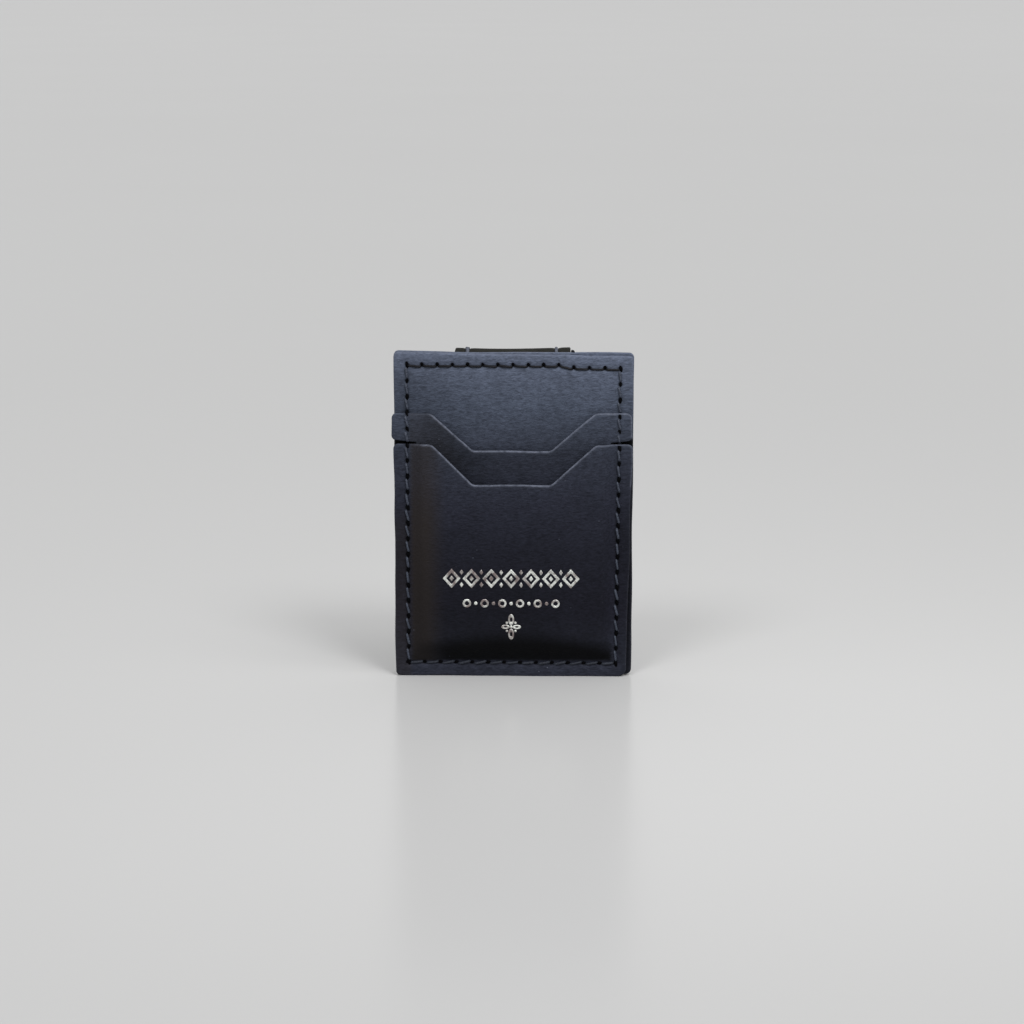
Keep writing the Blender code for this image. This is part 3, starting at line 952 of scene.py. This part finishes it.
def foil_depth(u, v):
    return pocket_face(u, v) - FOIL_LIFT


def foil_points(flat):
    """The points of the foil's front over flat points, and then those of its back."""
    u, v = flat[:, 0], flat[:, 1]
    depth = foil_depth(u, v)
    return [*upright(u, v, depth), *upright(u, v, depth + 2 * FOIL_LIFT)]


def foil_shape(outline):
    """A thin leaf of foil over an outline, following the pocket's surface."""
    outline = resampled(np.array(outline, float), FOIL_STEP)
    grid = lattice(outline.min(axis=0), outline.max(axis=0), FOIL_STEP)
    grid = grid[inside(grid, outline)]
    if len(grid):
        grid = grid[distance_to(grid, outline, np.roll(outline, -1, axis=0)) > FOIL_STEP * 0.4]
    cloud = np.concatenate([outline, grid])
    flat, tops, rim = filled(cloud, list(range(len(outline))))
    return foil_points(flat), closed_faces(tops, rim, len(flat))


def foil_ring(center, outline, inner):
    """A band of foil between an outline and the same outline drawn in about center."""
    outline = resampled(np.array(outline, float), FOIL_STEP)
    center = np.array(center)
    rows = [center + (outline - center) * (1 + (inner - 1) * k / 3) for k in range(4)]
    count, total = len(outline), 4 * len(outline)
    tops = []
    for k in range(3):
        here, there = k * count, (k + 1) * count
        for i in range(count):
            n = (i + 1) % count
            tops.append((here + i, here + n, there + n, there + i))
    faces = closed_faces(tops, list(range(count)), total)
    faces += closed_faces([], list(range(3 * count, total)), total)
    return foil_points(np.concatenate(rows)), faces


def lozenge(u, v, width, height):
    return [(u - width / 2, v), (u, v - height / 2), (u + width / 2, v), (u, v + height / 2)]


FOIL_X = -0.0006
FRIEZE_Z = 0.0290
FRIEZE_COUNT = 7
FRIEZE_PITCH = 0.0056
LOZENGE = (0.0050, 0.0056)
CORE = (0.0013, 0.0016)
DART = (0.0011, 0.0016)
DART_RISE = 0.0018
CHAIN_Z = 0.0218
CHAIN_COUNT = 11
CHAIN_PITCH = 0.0025
RING_RADIUS = 0.0012
BEAD_RADIUS = 0.0005
ROSETTE_Z = 0.0150
PETALS = ((0.0016, 0.0012), (0.0021, 0.0016)) * 2
ROSETTE_BEAD_REACH = 0.0017
ROSETTE_BEAD_RADIUS = 0.00036
ROSETTE_HEART_RADIUS = 0.00042


def foil_ornament():
    """A frieze of lozenges, a chain of rings and beads, and a four-petalled rosette."""
    shapes = []
    for i in range(FRIEZE_COUNT):
        u = FOIL_X + (i - (FRIEZE_COUNT - 1) / 2) * FRIEZE_PITCH
        add_shape(shapes, *foil_ring((u, FRIEZE_Z), lozenge(u, FRIEZE_Z, *LOZENGE), 0.60))
        add_shape(shapes, *foil_shape(lozenge(u, FRIEZE_Z, *CORE)))
        if i:
            joint = u - FRIEZE_PITCH / 2
            for z in (FRIEZE_Z - DART_RISE, FRIEZE_Z + DART_RISE):
                add_shape(shapes, *foil_shape(lozenge(joint, z, *DART)))
    for i in range(CHAIN_COUNT):
        u = FOIL_X + (i - (CHAIN_COUNT - 1) / 2) * CHAIN_PITCH
        if i % 2:
            add_shape(shapes, *foil_shape(circle(u, CHAIN_Z, BEAD_RADIUS, 14)))
        else:
            add_shape(shapes, *foil_ring((u, CHAIN_Z), circle(u, CHAIN_Z, RING_RADIUS), 0.52))
    for k, (reach, length) in enumerate(PETALS):
        a = math.pi / 2 * k
        petal = (FOIL_X + reach * math.cos(a), ROSETTE_Z + reach * math.sin(a))
        add_shape(shapes, *foil_ring(petal, circle(*petal, length, 24, 0.52, a), 0.42))
        b = a + math.pi / 4
        bead = (FOIL_X + ROSETTE_BEAD_REACH * math.cos(b), ROSETTE_Z + ROSETTE_BEAD_REACH * math.sin(b))
        add_shape(shapes, *foil_shape(circle(*bead, ROSETTE_BEAD_RADIUS, 12)))
    add_shape(shapes, *foil_shape(circle(FOIL_X, ROSETTE_Z, ROSETTE_HEART_RADIUS, 14)))
    piece = joined("foil_ornament", shapes)
    make_outward(piece)
    return piece


# --- materials ---

CAD_TOP = cad_box[1].z
# The brown of the painted warm reflection on the pockets' left side.
WARM_REFLECTION_TONE = (0.024, 0.019, 0.016, 1)
DENT_SHADE_TONE = (0.002, 0.002, 0.003, 1)
BLACK_WAX = (0.004, 0.004, 0.006, 1)
GRAIN_DEPTH = 0.00018
FIBRE_SCALE = 5200.0
HOLDER_EDGE = (0.155, 0.170, 0.220)
STRAP_EDGE = (0.03, 0.03, 0.03)
LINING_EDGE = (0.04, 0.04, 0.045)
THREAD_HIGHLIGHT_TONES = ((0.012, 0.014, 0.021), (0.080, 0.093, 0.128))
# Pale tones of the thread crossing the fold: a painted highlight.
CROSSING_HIGHLIGHT_TONES = ((0.026, 0.030, 0.042), (0.135, 0.147, 0.185))
# Painted light and shade by height for the holder: pale and blue near the top, where the light from above
# falls, and dark further down.
HOLDER_PAINTED_LIGHT_TONES = (
    (0.004, (0.027, 0.030, 0.045)),
    (0.020, (0.018, 0.0185, 0.030)),
    (0.050, (0.020, 0.022, 0.034)),
    (0.064, (0.026, 0.030, 0.044)),
    (0.078, (0.058, 0.070, 0.100)),
    (0.092, (0.095, 0.112, 0.158)),
)
STRAP_TONES = ((0.080, (0.021, 0.021, 0.021)), (0.092, (0.0155, 0.0155, 0.0135)))
LINING_TONES = ((0.020, (0.020, 0.021, 0.026)), (0.092, (0.024, 0.025, 0.030)))


class Shader:
    """A material's node tree, built one node at a time."""

    def __init__(self, name):
        self.material = bpy.data.materials.new(name)
        self.material.use_nodes = True
        self.nodes = self.material.node_tree.nodes
        self.links = self.material.node_tree.links
        self.principled = self.nodes["Principled BSDF"]

    def node(self, kind, settings=None, **inputs):
        made = self.nodes.new("ShaderNode" + kind)
        for key, value in (settings or {}).items():
            setattr(made, key, value)
        for key, value in inputs.items():
            self.feed(made, key.replace("_", " "), value)
        return made

    def feed(self, node, key, value):
        socket = node.inputs[key]
        if isinstance(value, bpy.types.NodeSocket):
            self.links.new(value, socket)
        else:
            socket.default_value = value

    def surface(self, **inputs):
        for key, value in inputs.items():
            self.feed(self.principled, key.replace("_", " "), value)

    def math(self, operation, a, b):
        node = self.node("Math", {"operation": operation})
        self.feed(node, 0, a)
        self.feed(node, 1, b)
        return node.outputs[0]

    def mix(self, factor, a, b):
        node = self.node("Mix", {"data_type": "RGBA"})
        self.feed(node, 0, factor)
        self.feed(node, 6, a)
        self.feed(node, 7, b)
        return node.outputs[2]

    def scaled(self, colour, factor):
        """The colour made lighter or darker."""
        node = self.node("VectorMath", {"operation": "SCALE"})
        self.feed(node, 0, colour)
        self.feed(node, "Scale", factor)
        return node.outputs[0]

    def spread(self, value, low, high, to_low=0.0, to_high=1.0):
        node = self.node("MapRange", Value=value)
        for key, bound in enumerate((low, high, to_low, to_high), 1):
            self.feed(node, key, bound)
        return node.outputs[0]

    def coordinates(self, scale=(1, 1, 1), turn=(0, 0, 0)):
        place = self.node("TexCoord").outputs["Object"]
        turned = self.node("Mapping", Vector=place, Rotation=turn).outputs[0]
        return self.node("Mapping", Vector=turned, Scale=scale).outputs[0]

    def attribute(self, name):
        return self.node("Attribute", {"attribute_name": name}).outputs["Fac"]

    def noise(self, vector, scale, detail=3.0, roughness=0.5, distortion=0.0):
        return self.node(
            "TexNoise", Vector=vector, Scale=scale, Detail=detail, Roughness=roughness, Distortion=distortion
        ).outputs["Fac"]

    def voronoi(self, vector, scale):
        return self.node("TexVoronoi", {"feature": "F1"}, Vector=vector, Scale=scale).outputs["Distance"]

    def bump(self, height, strength, distance):
        return self.node("Bump", Height=height, Strength=strength, Distance=distance).outputs[0]


def leather_material(name, tones, edge_tone, streak, contrast):
    """Waxed leather. tones holds (height, colour) stops from the foot of the object to its top,
    and streak and contrast say how fine and how strong its grain is."""
    shader = Shader(name)
    even = shader.coordinates()
    drawn = shader.coordinates((0.33, 1.0, 1.0), (0, math.radians(5), 0))
    # Colour by height. With the holder's tones this paints light and shade: lighter at the top, darker
    # further down.
    height_up = shader.node("SeparateXYZ", Vector=even).outputs["Z"]
    ramp = shader.node("ValToRGB", Fac=shader.spread(height_up, 0.0, CAD_TOP))
    stops = ramp.color_ramp.elements
    while len(stops) < len(tones):
        stops.new(0.5)
    for stop, (height, colour) in zip(stops, tones):
        stop.position = height / CAD_TOP
        stop.color = (*colour, 1)
    blotches = shader.noise(even, 110.0, 4.0, 0.6)
    clouds = shader.noise(even, 380.0, 3.0, 0.6)
    streaks = shader.noise(drawn, streak, 4.0, 0.68, 0.5)
    pebbles = shader.voronoi(shader.coordinates((0.55, 1.0, 1.0)), streak * 1.1)
    fine = shader.noise(even, FIBRE_SCALE, 2.0, 0.6)
    base = shader.scaled(ramp.outputs["Color"], shader.spread(blotches, 0.3, 0.7, 0.91, 1.09))
    base = shader.scaled(base, shader.spread(clouds, 0.3, 0.7, 0.93, 1.07))
    base = shader.scaled(base, shader.spread(streaks, 0.33, 0.67, 1 - contrast, 1 + contrast))
    # Painted warm reflection: the warm value tints the colour brown.
    base = shader.mix(shader.attribute("warm"), base, WARM_REFLECTION_TONE)
    # Painted shade: the shade value darkens the colour, down to three hundredths where it is 1.
    base = shader.scaled(base, shader.spread(shader.attribute("shade"), 0.0, 1.0, 1.0, 0.03))
    scuffs = shader.spread(shader.noise(even, 700.0, 3.0), 0.3, 0.62, 0.25, 0.9)
    scuffs = shader.math("MULTIPLY", shader.attribute("edge_wear"), scuffs)
    base = shader.mix(scuffs, base, (*edge_tone, 1))
    dust = shader.spread(shader.voronoi(even, 420.0), 0.05, 0.09, 1.0, 0.0)
    dust = shader.math("MULTIPLY", dust, shader.spread(shader.noise(even, 160.0), 0.56, 0.64, 0.0, 0.5))
    base = shader.mix(dust, base, (*edge_tone, 1))
    # Painted shade: near-black in the dents round the stitch holes.
    base = shader.mix(shader.spread(shader.attribute("dent_shade"), 0.3, 0.9, 0.0, 0.85), base, DENT_SHADE_TONE)
    relief = shader.math("ADD", streaks, shader.math("MULTIPLY", pebbles, 0.35))
    relief = shader.math("ADD", relief, shader.math("MULTIPLY", fine, 0.10))
    roughness = shader.spread(clouds, 0.3, 0.7, 0.46, 0.60)
    shader.surface(
        Base_Color=base,
        Roughness=roughness,
        Normal=shader.bump(relief, 1.0, GRAIN_DEPTH),
        Specular_IOR_Level=0.07,
    )
    return shader.material


def thread_material(name, low, high):
    """Waxed thread, from black to the tones low and high where its tone value is 1; the pale tones are a
    painted highlight.
    """
    shader = Shader(name)
    even = shader.coordinates()
    fibres = shader.noise(even, FIBRE_SCALE, 3.0, 0.6)
    pale = shader.mix(shader.spread(fibres, 0.35, 0.65), (*low, 1), (*high, 1))
    tone = shader.mix(shader.attribute("tone"), BLACK_WAX, pale)
    shader.surface(
        Base_Color=tone,
        Roughness=shader.spread(fibres, 0.3, 0.7, 0.38, 0.6),
        Normal=shader.bump(fibres, 0.5, 0.00008),
        Specular_IOR_Level=0.2,
    )
    return shader.material


def slit_material():
    shader = Shader("awl_slit_shadow")
    # Painted shade inside the awl holes, barely varied.
    shadow_mottle = shader.noise(shader.coordinates(), 3000.0)
    tone = shader.mix(shadow_mottle, (0.001, 0.001, 0.0012, 1), (0.003, 0.003, 0.004, 1))
    shader.surface(Base_Color=tone, Roughness=0.95, Specular_IOR_Level=0.05)
    return shader.material


def foil_material():
    shader = Shader("silver_foil")
    even = shader.coordinates()
    patches = shader.noise(even, 330.0, 3.0, 0.6, 0.4)
    worn = shader.noise(even, 2300.0, 3.0, 0.7)
    grain = shader.noise(even, 4800.0, 2.0)
    tone = shader.mix(shader.spread(patches, 0.42, 0.60), (0.80, 0.82, 0.78, 1), (0.25, 0.205, 0.20, 1))
    tone = shader.mix(shader.spread(worn, 0.52, 0.72, 0.0, 0.75), tone, (0.09, 0.085, 0.09, 1))
    shader.surface(
        Base_Color=tone,
        Metallic=0.8,
        Roughness=shader.spread(worn, 0.3, 0.7, 0.28, 0.5),
        Normal=shader.bump(grain, 0.4, 0.00006),
    )
    return shader.material


def magnet_material():
    shader = Shader("nickel_plating")
    marks = shader.noise(shader.coordinates((1, 1, 9)), 1200.0, 4.0)
    tone = shader.mix(marks, (0.52, 0.51, 0.49, 1), (0.66, 0.65, 0.62, 1))
    shader.surface(
        Base_Color=tone,
        Metallic=1.0,
        Roughness=shader.spread(marks, 0.3, 0.7, 0.2, 0.34),
        Normal=shader.bump(marks, 0.15, 0.00004),
    )
    return shader.material


def floor_material():
    shader = Shader("pale_floor")
    haze = shader.noise(shader.coordinates(), 3.0, 2.0)
    tone = shader.mix(haze, (0.565, 0.565, 0.562, 1), (0.58, 0.58, 0.58, 1))
    shader.surface(Base_Color=tone, Roughness=0.22, Specular_IOR_Level=0.25)
    return shader.material


# --- setting ---


def aimed(name, data, place, target):
    """A camera or a light at a place, turned to a target."""
    obj = bpy.data.objects.new(name, data)
    bpy.context.scene.collection.objects.link(obj)
    obj.location = place
    direction = Vector(target) - obj.location
    obj.rotation_euler = direction.to_track_quat("-Z", "Y").to_euler()
    return obj


CAMERA_LENS = 94.1
CAMERA_DISTANCE = 0.757
CAMERA_ELEVATION = math.radians(12.0)
CAMERA_TURN = math.radians(1.2)
CAMERA_TARGET = Vector((-0.0005, 0.0, 0.0468))
FLOOR_RADIUS = 14.0
ROOM_STRENGTH = 0.60


def camera():
    data = bpy.data.cameras.new("camera")
    data.sensor_width = 36.0
    data.lens = CAMERA_LENS
    data.clip_start = 0.01
    data.clip_end = 60.0
    level = CAMERA_DISTANCE * math.cos(CAMERA_ELEVATION)
    rise = CAMERA_DISTANCE * math.sin(CAMERA_ELEVATION)
    way = Vector((level * math.sin(CAMERA_TURN), -level * math.cos(CAMERA_TURN), rise))
    bpy.context.scene.camera = aimed("camera", data, CAMERA_TARGET + way, CAMERA_TARGET)


def soft_light(name, place, target, size, power):
    data = bpy.data.lights.new(name, "AREA")
    data.shape = "RECTANGLE"
    data.size, data.size_y = size
    data.energy = power
    aimed(name, data, place, target)


def far_light(name, azimuth, elevation, strength):
    """A large soft light a long way off, at an azimuth round from the front."""
    data = bpy.data.lights.new(name, "SUN")
    data.angle = math.radians(20)
    data.energy = strength
    side, up = math.radians(azimuth), math.radians(elevation)
    place = (math.cos(up) * math.sin(side), -math.cos(up) * math.cos(side), math.sin(up))
    aimed(name, data, place, (0, 0, 0))


def surroundings():
    scene = bpy.context.scene
    scene.view_settings.view_transform = "Standard"
    world = bpy.data.worlds.new("soft_room")
    scene.world = world
    world.use_nodes = True
    background = world.node_tree.nodes["Background"]
    background.inputs["Color"].default_value = (1.0, 1.0, 1.0, 1.0)
    background.inputs["Strength"].default_value = ROOM_STRENGTH
    bpy.ops.mesh.primitive_circle_add(vertices=96, radius=FLOOR_RADIUS, fill_type="NGON", location=(0, 0, 0))
    floor = bpy.context.object
    floor.name = "pale_floor"
    floor.data.materials.append(floor_material())
    soft_light(
        "overhead", place=(0.09, -0.09, 0.29), target=(0.01, 0.0, 0.06), size=(0.16, 0.12), power=0.24
    )
    far_light("left_key", azimuth=-30, elevation=46, strength=0.84)
    far_light("right_key", azimuth=34, elevation=44, strength=0.92)


# --- putting it together ---


def paint(material, slot, *pieces):
    for piece in pieces:
        piece.data.materials.clear()
        piece.data.materials.append(material)


def dress_holder():
    skin = leather_material("blue_black_leather", HOLDER_PAINTED_LIGHT_TONES, HOLDER_EDGE, streak=2100.0, contrast=0.36)
    pieces = [front_panel(), back_panel(), upper_pocket(), lower_pocket()]
    paint(skin, "holder_leather", *pieces)
    stitches, slits, behind, behind_slits = perimeter_seam()
    tail = thread_tail()
    paint(thread_finish, "thread", stitches, behind, tail)
    paint(slit_finish, "thread", slits, behind_slits)
    foil = foil_ornament()
    paint(foil_material(), None, foil)
    for piece in (*pieces, stitches, slits, behind, behind_slits, tail, foil):
        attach(piece, "holder")


def below_fold(point):
    return point[1] < -0.0002


def strap_seam(near, layer, skip=None, radius=FINE_THREAD_RADIUS):
    """The strap's stitches on one face of one half."""
    runs = strap_runs(near)
    outside = layer == "outer"

    def depth(u, v):
        sunk = pressed(u, v, runs, *LINING_DENTS)
        return sunk + fold_crease(u, v) if outside else LINING_FACE - sunk

    def place(u, v, d):
        """A stitch on the lining stands off the other way, towards the fold's axis."""
        return strap_place(u, v, d if outside else LINING_FACE - (d - LINING_FACE))

    name = "strap_stitches_" + layer + ("_near" if near else "_far")
    out = np.array((0.0, -1.0 if near == outside else 1.0, 0.05))
    shifts = [(0.0003, -0.0002, 0.0002)] * len(runs)
    # Every strap stitch gets the full painted highlight.
    return seam_stitches(name, runs, depth, place, out, radius, shifts, [1.0] * len(runs), skip)


def dress_clip():
    skin = leather_material("black_strap_leather", STRAP_TONES, STRAP_EDGE, streak=1400.0, contrast=0.20)
    inside_skin = leather_material("lining_leather", LINING_TONES, LINING_EDGE, streak=2600.0, contrast=0.10)
    for layer, finish, slot in (("outer", skin, "strap_leather"), ("lining", inside_skin, "lining_leather")):
        near = strap_half(layer, True)
        far = strap_half(layer, False)
        paint(finish, slot, near, far)
        bend_near(near)
        bend_far(far)
        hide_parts("fixed_leaf_" + layer)
        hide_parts("flap_" + layer, "fold_" + layer)
    outside = strap_seam(False, "outer")
    crossing = strap_seam(True, "outer", below_fold, CROSSING_RADIUS)
    inside_far = strap_seam(False, "lining")
    inside_near = strap_seam(True, "lining")
    paint(thread_finish, "thread", outside, inside_far, inside_near)
    paint(highlit_thread_finish, "thread", crossing)
    bend_near(crossing)
    bend_far(outside)
    bend_far(inside_far)
    bend_near(inside_near)
    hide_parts("flap_thread")
    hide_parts("fold_thread_left", "fold_thread_right")
    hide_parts("fixed_leaf_thread")


camera()
surroundings()
thread_finish = thread_material("waxed_thread", *THREAD_HIGHLIGHT_TONES)
# Paler thread for the stitches over the fold: a painted highlight.
highlit_thread_finish = thread_material("highlit_crossing_thread", *CROSSING_HIGHLIGHT_TONES)
slit_finish = slit_material()
dress_holder()
dress_clip()
paint(magnet_material(), None, *[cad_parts[n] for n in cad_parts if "magnet" in n])
paint(thread_finish, None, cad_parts["pocket_base_thread"])
